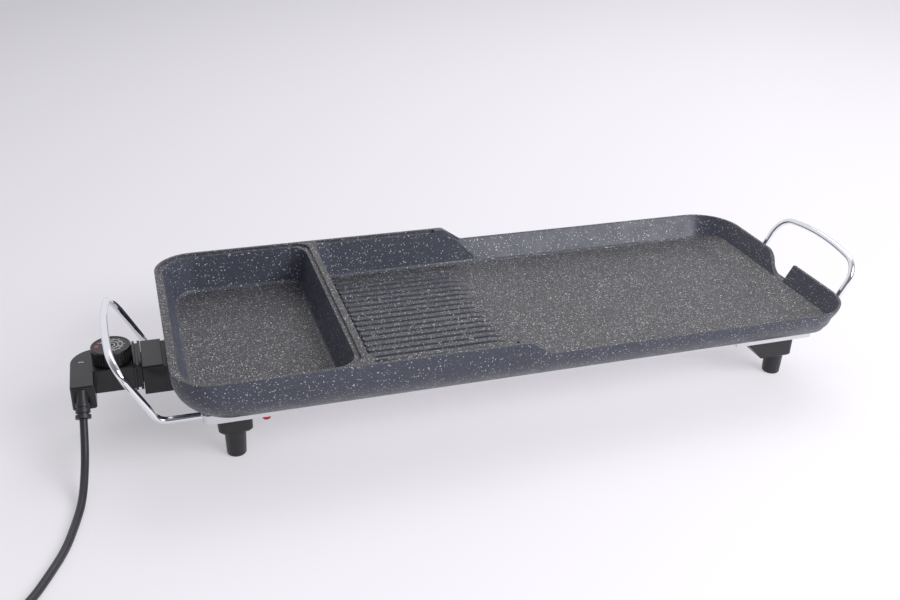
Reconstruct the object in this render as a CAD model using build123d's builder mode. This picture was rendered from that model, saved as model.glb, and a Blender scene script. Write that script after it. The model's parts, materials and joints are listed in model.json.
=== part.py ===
"""Electric table grill: a die-cast pan with a pot compartment and a griddle, on a steel tray with four
feet, two wire handles and a plug-in thermostat controller with its cord. Millimetres, +Z up. X runs along
the grill from the controller end (-X) to the drain notch (+X), and -Y is the front. The origin is on the
table, at the middle of the object's outline without its cord."""

from build123d import *
from math import atan2, cos, radians, sin, sqrt, tan
import os

os.makedirs("parts", exist_ok=True)

# Cutting
stands = (Align.CENTER, Align.CENTER, Align.MIN)  # a cylinder or cone on its own foot
past = 1.0  # how far a cut runs past what it cuts
far = 20.0  # and past what it clears away altogether

# Heights
leg_height = 28.0  # table to the underside of a foot's block
foot_block_height = 20.0
bracket_sheet = 1.5
tray_sheet = 0.8
tray_depth = 10.5
pan_lift = 8.5  # tray's underside to the pan's lowest edge
skirt_depth = 5.2
floor_thickness = 4.0
pot_depth = 39.6
griddle_depth = 24.3

bracket_bottom = leg_height + foot_block_height
tray_bottom = bracket_bottom + bracket_sheet
tray_floor = tray_bottom + tray_sheet
pan_bottom = tray_bottom + pan_lift
slab_underside = pan_bottom + skirt_depth
pan_floor = slab_underside + floor_thickness
tall_rim = pan_floor + pot_depth
low_rim = pan_floor + griddle_depth

# Pan, seen from above, about its own centre
pan_length = 680.0
pan_width = 280.0
left_end = -pan_length / 2
right_end = pan_length / 2
left_corner = 40.0
right_corner = 47.0
side_flare = 24.5  # how far the wall's foot stands in from the rim
left_flare = 24.0
wall_curve = 2.6  # power that makes the outer wall bulge
# Outer wall from its foot up: share of the height, inset and corner radius at the right end
wall_steps = (
    (0.0, 14.0, 24.0),
    (0.065, 10.0, 28.5),
    (0.165, 8.5, 33.0),
    (0.33, 7.0, 39.0),
    (0.43, 6.3, 42.0),
    (0.5, 3.6, 44.5),
    (0.58, 0.8, 46.5),
    (0.7, 0.2, right_corner),
    (0.85, 0.0, right_corner),
    (1.0, 0.0, right_corner),
)
rim_lip = 3.2
floor_fillet = 5.0

# Pot compartment, divider and lid seat
seat_depth = 2.2
seat_width = 4.6
divider_left = -176.0  # edges of the divider's top, from the pan's centre
divider_width = 7.0
pot_draft = 13.0
pot_left_corner = 30.0
pot_right_corner = 11.0
griddle_seat_end = -31.0
seat_dimple_radius = 2.0
seat_dimple_depth = 1.2

# Step in the rim, from the tall part to the low one
slope_top = -21.0
slope_foot = 1.5
slope_rounding = 9.0
crease_top = (-18.0, 37.6)  # inner wall's crease: x, and height above the floor
crease_foot = (8.2, 13.1)

# Griddle, ramp and drain notch
tall_draft = 14.0
low_draft = 30.0
griddle_right = right_end - 17.0  # foot of the right end wall
griddle_left_corner = 8.0
griddle_right_corner = 30.0
ramp_start = right_end - 42.0
ramp_angle = 11.6
notch_front = -26.0
notch_lip = 21.0
notch_slant = 27.0  # how far the notch's back side leans outward
notch_rounding = 9.0
notch_sill = 8.6  # ramp's height at the notch, above the floor
notch_cut_base = 4.0
notch_to_wall = 8.0  # the cut starts short of the end wall's foot
notch_cut_length = 60.0

# Ribs
rib_count = 20
rib_pitch = 10.7
rib_width = 7.4
rib_height = 2.3
rib_left = -154.0
rib_right = -13.0
rib_draft = 14.0
rib_step = 0.2  # height of a rib's right end
rib_run_out = 16.0  # length over which a rib's right end slopes down
dimple_radius = 1.7
dimple_depth = 0.9

# Screws, in shares of the head's height, the shank's radius and the head's radius
head_round = 0.4
tip_chamfer = 0.3
cross_length = 1.2
cross_width = 0.25

# Tray and end brackets
tray_left = left_end + 26.0
tray_right = right_end - 27.5
tray_width = 210.2
tray_corner = 4.0
left_bracket_length = 62.0
right_bracket_length = 91.0
bracket_height = 9.0
post_radius = 7.0
strap_post_radius = 6.0
post_to_bracket = 18.5  # outer posts, from a bracket's inner edge
post_y = 53.5
tray_screw_radius = 2.0
tray_screw_tip = 60.0
screw_hole_gap = 0.2
end_wall_gap = 0.5  # tray's end walls to the pan's lowest edge
end_wall_run = 15.0  # length over which the side walls stay as low
window_sill = 2.7  # above the tray's floor

# Feet
left_foot_x = left_end + 53.0
left_foot_y = 84.5
right_foot_x = right_end - 55.0
right_foot_y = 86.5
foot_block_length = 31.0
foot_block_width = 28.0
leg_top_radius = 10.0
leg_bottom_radius = 9.0
foot_bore_depth = 18.0
foot_bore_radius = 4.6
foot_block_corner = 5.0
foot_block_chamfer = 3.5
foot_edge = 2.0
right_block_height = 23.5
right_block_reach = 12.5  # from the leg's middle towards the end
wedge_reach = 44.0  # and away from it, over a slanted underside
wedge_tip = 2.0
wedge_foot = 24.0
foot_screw_head_radius = 4.0
foot_screw_head_height = 2.6
foot_screw_tip = 54.0
rebate_bottom = 37.0
rebate_edge = 82.0
nut_radius = 4.0
nut_height = 3.0

# Wire handles
wire_radius = 3.5
wire_height = 41.0
handle_half_width = 71.5
handle_bend = right_end + 13.0  # low bend, from the pan's centre
handle_lean = 61.5  # degrees above the table
handle_leg = 71.0
handle_bow = 12.0
handle_bend_radius = 14.5
handle_corner_radius = 25.0
handle_bow_radius = 300.0
left_handle_y = -6.5
right_handle_y = 3.0
clamp_length = 14.0
wire_end_inset = 1.0  # a wire's end, inside its clamp
clamp_wall = 3.2
clamp_ear = 11.0
clamp_ear_thickness = 4.0
clamp_screw_radius = 1.5
small_head_radius = 2.75
small_head_height = 2.0
floor_screw_tip = 52.0
clamp_to_end = 2.0  # bracket's inner edge to the clamp

# Heating element
element_radius = 4.0
element_gap = 0.2  # sheath's top to the pan's underside
outer_run_y = 80.0
inner_run_y = 27.0
element_right = right_end - 51.5
element_left = left_end + 52.0
inner_left = left_end + 133.0
element_end = left_end + 22.0
element_corner = 25.0
element_fit = 0.1
strap_x = (-125.0, 60.0, 175.0)
strap_width = 14.0
strap_sheet = 1.2
strap_margin = 3.0
strap_corner = 3.0
clamp_screw_bite = 6.0

# Socket: heater pins, probe sleeve and shroud
socket_y = -7.5
pin_spacing = 24.0
pin_radius = 2.4
pin_chamfer = 0.6
pin_end = left_end + 2.0
bead_length = 5.0
sleeve_outer_radius = 3.9
sleeve_bore_radius = 3.1
sleeve_length = 78.0
sleeve_set_back = 4.0
shroud_left = left_end - 21.7
shroud_step = left_end - 3.0
shroud_inner_end = left_end + 23.0
shroud_width = 53.0
shroud_bottom = 44.0
shroud_top = 74.0
shroud_neck_drop = 2.2
neck_inset = 1.5
neck_roof = 10.0  # length of the neck that rises beside the pan
tongue_overlap = 3.0
shroud_wall = 5.5
shroud_rounding = 2.0
tongue_end = left_end + 55.0
tongue_width = 36.0
shroud_screw_x = left_end + 40.0
shroud_screw_radius = 1.75
shroud_head_radius = 3.25
pan_clearance = 1.0
window_margin = 2.5
shroud_floor = 50.0
shroud_ceiling = 68.5
tongue_thickness = 4.0
pin_plate_sheet = 1.2
pin_plate_width = 35.0
pin_plate_foot = 21.2
pin_plate_rise = 2.0  # above the pins' middle
earth_width = 8.0
earth_sheet = 1.0
earth_end = left_end - 10.0
earth_riser = left_end + 21.0
earth_bridge_z = 53.4
earth_leaf = 8.0
earth_leaf_top = 52.6
earth_overlap = 0.5  # where two bends of the strip meet
leaf_sheet = 0.8

# Controller
case_left = left_end - 85.0
case_right = left_end - 29.5
case_front = -32.0
case_back = 12.0
case_bottom = 51.0
case_top = 75.0
parting = 62.0
case_wall = 2.0
outlet_front = -57.0
outlet_width = 21.0
outer_case_corner = 24.0
inner_case_corner = 10.0
case_edge = 1.2
collar_plate = 2.4
collar_gap = 2.6
collar_rise = 3.0
collar_neck_inset = 3.0
collar_margin_front = 1.0
collar_margin_back = 3.0
collar_edge = 0.5
housing_left = left_end - 44.0
housing_right = left_end + 14.0
housing_width = 34.0
housing_bottom = 53.0
housing_top = 66.0
housing_edge = 1.0
contact_radius = 3.7
contact_length = 19.0
contact_fit = 0.08
contact_recess = 1.5
probe_radius = 2.5
probe_round = 1.8
probe_end = left_end + 90.0
probe_start = left_end - 40.0
case_corner = 2.5
case_boss_radius = 2.6
case_boss_spots = ((left_end - 51.5, -27.9), (left_end - 56.0, 7.9), (left_end - 68.0, -45.0))
case_screw_radius = 1.3
case_screw_head_radius = 2.4
case_screw_head_height = 1.6
head_gap = 0.3
case_screw_tip = 70.0
switch_base_box = (left_end - 78.0, left_end - 52.0, -24.0, -2.0)
switch_base_top = 57.0
blade_post_x = left_end - 68.0
blade_z = 60.0
blade_sheet = 0.6
blade_width = 6.0
blade_end = left_end - 49.0
contact_arm_left = left_end - 62.0
contact_point = (2.0, 1.2, 1.8)  # radii at its foot and tip, and height
lamp_radius = 2.2
lead_radius = 1.0
lead_bend = 3.0

# Dial
dial_x = left_end - 47.5
dial_y = -13.0
dial_radius = 18.0
dial_height = 14.0
dial_gap = 1.0
dial_skirt = 3.0
dial_face_radius = 15.6
dial_face_depth = 0.9
plate_recess = 0.2
grip_count = 40
grip_radius = 0.5
shaft_radius = 3.0
shaft_fit = 0.05
shaft_bottom = 61.2
shaft_bore_depth = 11.0
hub_radius = 5.5
knob_hollow_depth = 9.0
dial_edge = 1.2
lens_x = left_end - 75.0
lens_y = -11.7
lens_length = 5.0
lens_width = 1.4
lens_flange = 1.2

# Small red plug under the tray
red_plug_x = left_end + 80.5
red_plug_y = -100.5
red_plug_radius = 4.0
red_plug_height = 5.4
red_plug_round = 2.0
red_stem_radius = 2.0

# Cord, its strain relief, coil and plug
cord_radius = 3.5
boot_neck_radius = 5.5
boot_flange_radius = 6.8
boot_flange = 2.0
neck_cut = 8.0
boot_radius = 5.0
boot_ring_radius = 6.8  # at the tip, and less by a step at each ring before it
boot_ring_step = 0.4
boot_ring_length = 3.4
boot_rings = 3
boot_ring_pitch = 5.2
cord_points = (
    (left_end - 76.3, -70.0, 50.0),
    (left_end - 77.2, -84.0, 33.5),
    (left_end - 79.5, -104.0, 16.5),
    (left_end - 83.0, -131.0, 5.5),
    (left_end - 88.5, -156.0, 3.5),
    (left_end - 96.0, -188.0, 3.5),
    (left_end - 108.0, -216.0, 3.5),
    (left_end - 121.0, -243.0, 3.5),
)
tie_width = 5.0
tie_sheet = 1.0
tie_gap = 0.3
coil_x = left_end - 159.0  # where the cord runs into the coil
coil_y = -316.0
coil_lead = 7.0
coil_corner_lead = 20.0
coil_pitch = 7.8
coil_layer = 7.6
coil_inner_radius = 31.5
lower_half_turns = 5
upper_half_turns = 6
tail_length = 46.0
sample_step = 1.2  # along the coil, for its least gap
plug_length = 38.0
plug_width = 36.0
plug_corner = 7.0
plug_edge = 3.0
plug_pin_radius = 2.4
plug_pin_length = 19.0
plug_pin_spacing = 19.0
plug_pin_round = 1.5

# The origin is midway between the controller's end and the right handle's tip
handle_rise = handle_leg * sin(radians(handle_lean))
handle_reach = handle_leg * cos(radians(handle_lean))
apex_rise = handle_leg + handle_bow
bow_turn = atan2(handle_bow, handle_half_width)
apex_sink = handle_bow_radius * (1 / cos(bow_turn) - 1)
handle_tip = handle_bend + (apex_rise - apex_sink) * cos(radians(handle_lean))
handle_tip += wire_radius
pan_x = (-case_left - handle_tip) / 2

# The boot leaves the case in line with the cord's first run
cord_tip = Vector(*cord_points[0])
boot_axis = (Vector(*cord_points[1]) - cord_tip).normalized()
boot_length = (cord_tip.Y - outlet_front) / boot_axis.Y
boot_start = cord_tip - boot_axis * boot_length
cord_exit_x = boot_start.X
cord_exit_z = boot_start.Z


def level(z):
    """Horizontal plane at a height, drawn about the pan's centre."""
    return Plane(origin=(pan_x, 0, z))


def side(y):
    """Upright plane along the grill, drawn in x from the pan's centre and z. It faces the front."""
    return Plane(origin=(pan_x, y, 0), x_dir=(1, 0, 0), z_dir=(0, -1, 0))


def across(x):
    """Upright plane across the grill, drawn in y and z. It faces +X."""
    return Plane(origin=(pan_x + x, 0, 0), x_dir=(0, 1, 0), z_dir=(1, 0, 0))


def at(x, y, z):
    """A point given from the pan's centre."""
    return (pan_x + x, y, z)


def wall_section(share, right_inset, right_radius, grow=0.0):
    """The outer wall's outline at a share of its height, from 0 at the lowest edge to 1 at the rim."""
    side_inset = side_flare * (1 - share) ** wall_curve - grow
    left_inset = left_flare * (1 - share) ** wall_curve - grow
    left = left_end + left_inset
    right = right_end - right_inset + grow
    with BuildSketch(level(pan_bottom + share * (tall_rim - pan_bottom))) as outline:
        with Locations(((left + right) / 2, 0)):
            Rectangle(right - left, pan_width - 2 * side_inset)
        fillet(outline.vertices().group_by(Axis.X)[0], left_corner - left_inset / 2)
        fillet(outline.vertices().group_by(Axis.X)[-1], right_radius)
    return outline.sketch


def box_between(x_low, x_high, y_low, y_high, z_low, z_high, mode=Mode.ADD):
    """A box between two corners given from the pan's centre."""
    with Locations(at((x_low + x_high) / 2, (y_low + y_high) / 2, (z_low + z_high) / 2)):
        Box(x_high - x_low, y_high - y_low, z_high - z_low, mode=mode)


# Pan: outer wall, then the hollows that are taken out of it
wall_sections = [wall_section(*step) for step in wall_steps]
keepout_sections = [wall_section(*step, grow=pan_clearance) for step in wall_steps]

with BuildPart() as pan_body:
    loft(wall_sections)

with BuildPart() as pan_keepout:
    loft(keepout_sections)

with BuildPart() as ramp_wedge:
    ramp_end = right_end + far
    with BuildSketch(side(0)):
        with BuildLine():
            Polyline(
                (ramp_start, pan_floor - far),
                (ramp_start, pan_floor),
                (ramp_end, pan_floor + (ramp_end - ramp_start) * tan(radians(ramp_angle))),
                (ramp_end, pan_floor - far),
                close=True,
            )
        make_face()
    extrude(amount=pan_width, both=True)

seat_floor = tall_rim - seat_depth
seat_edge_y = pan_width / 2 - rim_lip - seat_width
tall_spread = (seat_floor - pan_floor) * tan(radians(tall_draft))
griddle_floor_y = seat_edge_y - tall_spread
griddle_left = divider_left + divider_width + tall_spread

with BuildPart() as griddle_hollow:
    with BuildSketch(level(pan_floor)) as griddle_outline:
        with Locations(((griddle_left + griddle_right) / 2, 0)):
            Rectangle(griddle_right - griddle_left, 2 * griddle_floor_y)
        fillet(griddle_outline.vertices().group_by(Axis.X)[0], griddle_left_corner)
        fillet(griddle_outline.vertices().group_by(Axis.X)[-1], griddle_right_corner)
    extrude(amount=pot_depth + past, taper=-tall_draft)
    fillet(griddle_hollow.edges().group_by(Axis.Z)[0], floor_fillet)

with BuildPart() as wide_hollow:
    add(griddle_outline.sketch)
    extrude(amount=pot_depth + past, taper=-low_draft)
    fillet(wide_hollow.edges().group_by(Axis.Z)[0], floor_fillet)
    # The rim keeps its width beside the step
    with BuildSketch(level(pan_floor)):
        with Locations((right_end / 2, 0)):
            Rectangle(pan_length, pan_width - 2 * rim_lip)
    extrude(amount=pot_depth + far, mode=Mode.INTERSECT)
    crease_run = crease_foot[0] - crease_top[0]
    crease_fall = crease_top[1] - crease_foot[1]
    crease_plane = Plane(
        origin=at(crease_top[0], 0, pan_floor + crease_top[1]),
        z_dir=(crease_fall, 0, crease_run),
    )
    split(bisect_by=crease_plane, keep=Keep.TOP)

pot_spread = (seat_floor - pan_floor) * tan(radians(pot_draft))
pot_top_left = left_end + rim_lip + seat_width
pot_top_right = divider_left - seat_width
pot_left = pot_top_left + pot_spread
pot_right = pot_top_right - pot_spread

with BuildPart() as pot_hollow:
    with BuildSketch(level(pan_floor)) as pot_outline:
        with Locations(((pot_left + pot_right) / 2, 0)):
            Rectangle(pot_right - pot_left, 2 * (seat_edge_y - pot_spread))
        fillet(pot_outline.vertices().group_by(Axis.X)[0], pot_left_corner - pot_spread / 2)
        fillet(pot_outline.vertices().group_by(Axis.X)[-1], pot_right_corner)
    extrude(amount=pot_depth + past, taper=-pot_draft)
    fillet(pot_hollow.edges().group_by(Axis.Z)[0], floor_fillet)

with BuildPart() as pan:
    add(pan_body.part)
    # The rim steps down to the griddle's low part
    with BuildSketch(side(0)) as rim_step:
        with BuildLine():
            Polyline(
                (slope_top - far, tall_rim),
                (slope_top, tall_rim),
                (slope_foot, low_rim),
                (pan_length, low_rim),
                (pan_length, tall_rim + far),
                (slope_top - far, tall_rim + far),
                close=True,
            )
        make_face()
        corners = rim_step.vertices().sort_by(Axis.X)
        slope_corners = [v for v in corners if abs(v.X - slope_top) < 1 or abs(v.X - slope_foot) < 1]
        fillet(slope_corners, slope_rounding)
    extrude(amount=pan_width, both=True, mode=Mode.SUBTRACT)
    # Hollows
    add(pot_hollow.part, mode=Mode.SUBTRACT)
    add(griddle_hollow.part - ramp_wedge.part, mode=Mode.SUBTRACT)
    add(wide_hollow.part - ramp_wedge.part, mode=Mode.SUBTRACT)
    # Lid seat round the pot, and along both sides of the ribbed zone
    seat_left = left_end + rim_lip
    with BuildSketch(level(seat_floor)) as pot_seat:
        with Locations(((seat_left + divider_left) / 2, 0)):
            Rectangle(divider_left - seat_left, pan_width - 2 * rim_lip)
        fillet(pot_seat.vertices().group_by(Axis.X)[0], left_corner - rim_lip)
        fillet(pot_seat.vertices().group_by(Axis.X)[-1], pot_right_corner + seat_width)
    extrude(amount=seat_depth + past, mode=Mode.SUBTRACT)
    seat_start = divider_left + divider_width + seat_width / 2
    seat_middle_y = seat_edge_y + seat_width / 2
    with BuildSketch(level(seat_floor)):
        with Locations(*[((seat_start + griddle_seat_end) / 2, y) for y in (-seat_middle_y, seat_middle_y)]):
            SlotOverall(griddle_seat_end - seat_start, seat_width)
    extrude(amount=seat_depth + past, mode=Mode.SUBTRACT)
    with BuildSketch(level(seat_floor - seat_dimple_depth)):
        with Locations(*[(griddle_seat_end - seat_width / 2, y) for y in (-seat_middle_y, seat_middle_y)]):
            Circle(seat_dimple_radius)
    extrude(amount=seat_dimple_depth + past, mode=Mode.SUBTRACT)

with BuildPart() as notch_cutter:
    with BuildSketch(across(griddle_right - notch_to_wall)) as notch_outline:
        notch_back = notch_front + notch_lip
        notch_low = pan_floor + notch_cut_base
        slant_rate = notch_slant / (griddle_depth - notch_sill)
        back_low = notch_back - (notch_sill - notch_cut_base) * slant_rate
        with BuildLine():
            Polyline(
                (notch_front, notch_low),
                (back_low, notch_low),
                (notch_back + notch_slant, low_rim),
                (notch_back + notch_slant + far, low_rim),
                (notch_back + notch_slant + far, low_rim + far),
                (notch_front, low_rim + far),
                close=True,
            )
        make_face()
        slant_top = [v for v in notch_outline.vertices() if abs(v.X - notch_back - notch_slant) < 1]
        fillet(slant_top, notch_rounding)
    extrude(amount=notch_cut_length)
    add(ramp_wedge.part, mode=Mode.SUBTRACT)

with BuildPart() as ribs:
    with BuildSketch(level(pan_floor)):
        with Locations(((rib_left + rib_right) / 2, 0)):
            with GridLocations(1, rib_pitch, 1, rib_count):
                SlotOverall(rib_right - rib_left, rib_width)
    extrude(amount=rib_height, taper=rib_draft)
    with BuildSketch(side(0)):
        with BuildLine():
            Polyline(
                (rib_right - rib_run_out, pan_floor + rib_height),
                (rib_right, pan_floor + rib_step),
                (rib_right + far, pan_floor + rib_step),
                (rib_right + far, pan_floor + rib_height + far),
                (rib_right - rib_run_out, pan_floor + rib_height + far),
                close=True,
            )
        make_face()
    extrude(amount=pan_width, both=True, mode=Mode.SUBTRACT)

window_half = pin_spacing / 2 + element_radius + window_margin
with BuildPart() as pan_underside:
    inner_left_edge = left_end + left_flare + floor_thickness
    inner_right_edge = right_end - wall_steps[0][1] - floor_thickness
    with BuildSketch(level(pan_bottom - past)) as pocket:
        with Locations(((inner_left_edge + inner_right_edge) / 2, 0)):
            Rectangle(
                inner_right_edge - inner_left_edge,
                pan_width - 2 * side_flare - 2 * floor_thickness,
            )
        pocket_left_corners = pocket.vertices().group_by(Axis.X)[0]
        fillet(pocket_left_corners, left_corner - left_flare / 2 - floor_thickness)
        pocket_right_corners = pocket.vertices().group_by(Axis.X)[-1]
        fillet(pocket_right_corners, wall_steps[0][2] - floor_thickness)
    extrude(amount=skirt_depth + past)
    # Window in the skirt for the heater pins and the probe sleeve
    box_between(
        left_end,
        inner_left_edge + far,
        socket_y - window_half,
        socket_y + window_half,
        pan_bottom - past,
        slab_underside,
    )

element_z = slab_underside - element_gap - element_radius
strap_top = element_z - element_radius
left_bracket_edge = tray_left - bracket_sheet + left_bracket_length
right_bracket_edge = tray_right + bracket_sheet - right_bracket_length
post_x = (left_bracket_edge + post_to_bracket, 0.0, right_bracket_edge - post_to_bracket)
with BuildPart() as pan_posts:
    with BuildSketch(level(tray_floor)):
        with Locations(*[(x, y) for x in post_x for y in (-post_y, post_y)]):
            Circle(post_radius)
            Circle(tray_screw_radius, mode=Mode.SUBTRACT)
    extrude(amount=slab_underside - tray_floor)
    with BuildSketch(level(strap_top)):
        with Locations(*[(x, y) for x in strap_x for y in (-post_y, post_y)]):
            Circle(strap_post_radius)
            Circle(clamp_screw_radius, mode=Mode.SUBTRACT)
    extrude(amount=slab_underside - strap_top)

pan_solid = pan.part - notch_cutter.part - pan_underside.part + ribs.part + pan_posts.part
with BuildPart() as pan_whole:
    add(pan_solid)
    # Small dimples between the ribs' left ends
    with BuildSketch(level(pan_floor - dimple_depth)):
        with Locations((rib_left + dimple_radius, 0)):
            with GridLocations(1, rib_pitch, 1, rib_count - 1):
                Circle(dimple_radius)
    extrude(amount=dimple_depth, mode=Mode.SUBTRACT)



def tray_outline(z, grow=0.0):
    """The tray seen from above, at a height."""
    with BuildSketch(level(z)) as outline:
        with Locations(((tray_left + tray_right) / 2, 0)):
            RectangleRounded(tray_right - tray_left + 2 * grow, tray_width + 2 * grow, tray_corner + grow)
    return outline.sketch


def holes(spots, radius, z_low, z_high):
    """Upright round holes at places given from the pan's centre."""
    for x, y in spots:
        with Locations(at(x, y, (z_low + z_high) / 2)):
            Cylinder(radius, z_high - z_low, mode=Mode.SUBTRACT)


def screws(spots, seat, head_radius, head_height, radius, tip):
    """Cross-head screws put in from below: the head under its seat, the shank up to the tip."""
    with BuildPart() as screw:
        with BuildSketch(Plane.XY.offset(seat - head_height)):
            Circle(head_radius)
        extrude(amount=head_height)
        fillet(screw.edges().group_by(Axis.Z)[0], head_height * head_round)
        with BuildSketch(Plane.XY.offset(seat)):
            Circle(radius)
        extrude(amount=tip - seat)
        chamfer(screw.edges().group_by(Axis.Z)[-1], radius * tip_chamfer)
        with Locations((0, 0, seat - head_height)):
            Box(head_radius * cross_length, head_radius * cross_width, head_height, mode=Mode.SUBTRACT)
            Box(head_radius * cross_width, head_radius * cross_length, head_height, mode=Mode.SUBTRACT)
    with BuildPart() as group:
        with Locations(*[at(x, y, 0) for x, y in spots]):
            add(screw.part)
    return group.part


foot_spots = [(left_foot_x, -left_foot_y), (left_foot_x, left_foot_y)]
foot_spots += [(right_foot_x, -right_foot_y), (right_foot_x, right_foot_y)]
post_spots = [(x, y) for x in post_x for y in (-post_y, post_y)]
strap_spots = [(x, y) for x in strap_x for y in (-post_y, post_y)]
pin_ys = (socket_y - pin_spacing / 2, socket_y + pin_spacing / 2)
shroud_screw_spots = [(shroud_screw_x, y) for y in pin_ys]
left_wires = (left_handle_y - handle_half_width, left_handle_y + handle_half_width)
right_wires = (right_handle_y - handle_half_width, right_handle_y + handle_half_width)
clamp_half = wire_radius + clamp_wall
left_clamp_x = left_bracket_edge - clamp_to_end - clamp_length / 2
right_clamp_x = right_bracket_edge + clamp_to_end + clamp_length / 2
ear_reach = clamp_half + clamp_ear / 2


def inward(y):
    """Direction from a place towards the grill's middle line."""
    return -1 if y > 0 else 1


left_ear_spots = [(left_clamp_x, y + inward(y) * ear_reach) for y in left_wires]
right_ear_spots = [(right_clamp_x, y + inward(y) * ear_reach) for y in right_wires]
screw_hole = tray_screw_radius + screw_hole_gap
small_hole = clamp_screw_radius + screw_hole_gap
shroud_hole = shroud_screw_radius + screw_hole_gap
window_bottom = tray_floor + window_sill

with BuildPart() as tray:
    extrude(tray_outline(tray_bottom), amount=tray_depth)
    extrude(tray_outline(tray_floor, -tray_sheet), amount=tray_depth, mode=Mode.SUBTRACT)
    # The end walls stay below the pan
    end_wall_top = pan_bottom - end_wall_gap
    left_cut = (tray_left - past, tray_left + end_wall_run)
    right_cut = (tray_right - end_wall_run, tray_right + past)
    for x_low, x_high in (left_cut, right_cut):
        box_between(x_low, x_high, -pan_width / 2, pan_width / 2, end_wall_top, pan_floor, Mode.SUBTRACT)
    box_between(
        tray_left - past,
        tray_left + 2 * tray_sheet,
        socket_y - window_half,
        socket_y + window_half,
        window_bottom,
        pan_floor,
        Mode.SUBTRACT,
    )
    holes(post_spots + foot_spots, screw_hole, tray_bottom - past, tray_floor + past)
    holes(left_ear_spots + right_ear_spots, small_hole, tray_bottom - past, tray_floor + past)
    holes(shroud_screw_spots, shroud_hole, tray_bottom - past, tray_floor + past)
    holes([(red_plug_x, red_plug_y)], red_stem_radius, tray_bottom - past, tray_floor + past)


def bracket(cut_low, cut_high):
    """End bracket: a shallow steel channel under one end of the tray."""
    with BuildPart() as channel:
        extrude(tray_outline(bracket_bottom, bracket_sheet), amount=bracket_height)
        extrude(tray_outline(tray_bottom), amount=tray_depth, mode=Mode.SUBTRACT)
        box_between(cut_low, cut_high, -pan_width / 2, pan_width / 2, 0, tall_rim, Mode.SUBTRACT)
        holes(foot_spots, screw_hole, bracket_bottom - past, tray_bottom + past)
        holes(left_ear_spots + right_ear_spots, small_hole, bracket_bottom - past, tray_bottom + past)
    return channel.part


left_channel = bracket(left_bracket_edge, pan_length)
right_channel = bracket(-pan_length, right_bracket_edge)

with BuildPart() as bracket_left:
    add(left_channel)
    box_between(
        tray_left - bracket_sheet - past,
        tray_left + past,
        socket_y - window_half,
        socket_y + window_half,
        window_bottom,
        pan_floor,
        Mode.SUBTRACT,
    )
    holes(shroud_screw_spots, shroud_hole, bracket_bottom - past, tray_bottom + past)
    holes([(red_plug_x, red_plug_y)], red_stem_radius, bracket_bottom - past, tray_bottom + past)

with BuildPart() as bracket_right:
    add(right_channel)


def wire_room(x, y):
    """Room at the inner top edge of a foot's block for the handle's wire."""
    inner_edge = y + inward(y) * (foot_block_width / 2 + past)
    outer_edge = -inward(y) * rebate_edge
    box_between(
        x - wedge_reach - past,
        x + wedge_reach,
        min(inner_edge, outer_edge),
        max(inner_edge, outer_edge),
        rebate_bottom,
        bracket_bottom + past,
        Mode.SUBTRACT,
    )


def foot_bore(x, y):
    """Bore for a foot's screw, wide enough below for the screw's head."""
    holes([(x, y)], foot_bore_radius, -past, foot_bore_depth)
    holes([(x, y)], screw_hole, foot_bore_depth - past, bracket_bottom + past)


def foot(x, y):
    """Left foot: a rounded block under its bracket with a tapered leg, bored for its screw from below."""
    with BuildPart() as piece:
        with BuildSketch(Plane(origin=at(x, y, leg_height))):
            RectangleRounded(foot_block_length, foot_block_width, foot_block_corner)
        extrude(amount=foot_block_height)
        chamfer(piece.edges().group_by(Axis.Z)[0], foot_block_chamfer)
        with Locations(at(x, y, leg_height / 2)):
            Cone(leg_bottom_radius, leg_top_radius, leg_height)
        fillet(piece.edges().group_by(Axis.Z)[0], foot_edge)
        foot_bore(x, y)
        wire_room(x, y)
    return piece.part


def wedge_shaped_foot(x, y):
    """Right foot: its block reaches further in, over a slanted underside."""
    block_bottom = bracket_bottom - right_block_height
    with BuildPart() as piece:
        with BuildSketch(level(block_bottom)):
            with Locations((x + (right_block_reach - wedge_reach) / 2, y)):
                RectangleRounded(right_block_reach + wedge_reach, foot_block_width, foot_block_corner)
        extrude(amount=right_block_height)
        chamfer(piece.edges().group_by(Axis.Z)[0], foot_edge)
        with BuildSketch(side(y)):
            with BuildLine():
                Polyline(
                    (x - wedge_reach - past, block_bottom - past),
                    (x - wedge_foot, block_bottom - past),
                    (x - wedge_foot, block_bottom),
                    (x - wedge_reach - past, bracket_bottom - wedge_tip),
                    close=True,
                )
            make_face()
        extrude(amount=foot_block_width, both=True, mode=Mode.SUBTRACT)
        with Locations(at(x, y, block_bottom / 2)):
            Cone(leg_bottom_radius, leg_top_radius, block_bottom)
        fillet(piece.edges().group_by(Axis.Z)[0], foot_edge)
        foot_bore(x, y)
        wire_room(x, y)
    return piece.part


front_left_solid = foot(left_foot_x, -left_foot_y)
back_left_solid = foot(left_foot_x, left_foot_y)
front_right_solid = wedge_shaped_foot(right_foot_x, -right_foot_y)
back_right_solid = wedge_shaped_foot(right_foot_x, right_foot_y)

with BuildPart() as foot_front_left:
    add(front_left_solid)

with BuildPart() as foot_back_left:
    add(back_left_solid)

with BuildPart() as foot_front_right:
    add(front_right_solid)

with BuildPart() as foot_back_right:
    add(back_right_solid)

foot_screws_set = screws(
    foot_spots,
    foot_bore_depth,
    foot_screw_head_radius,
    foot_screw_head_height,
    tray_screw_radius,
    foot_screw_tip,
)
with BuildPart() as foot_screws:
    add(foot_screws_set)

with BuildPart() as foot_nuts:
    with BuildSketch(level(tray_floor)):
        with Locations(*foot_spots):
            RegularPolygon(nut_radius, 6)
            Circle(tray_screw_radius, mode=Mode.SUBTRACT)
    extrude(amount=nut_height)

tray_screws_set = screws(
    post_spots,
    tray_bottom,
    foot_screw_head_radius,
    foot_screw_head_height,
    tray_screw_radius,
    tray_screw_tip,
)
with BuildPart() as tray_screws:
    add(tray_screws_set)


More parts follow.
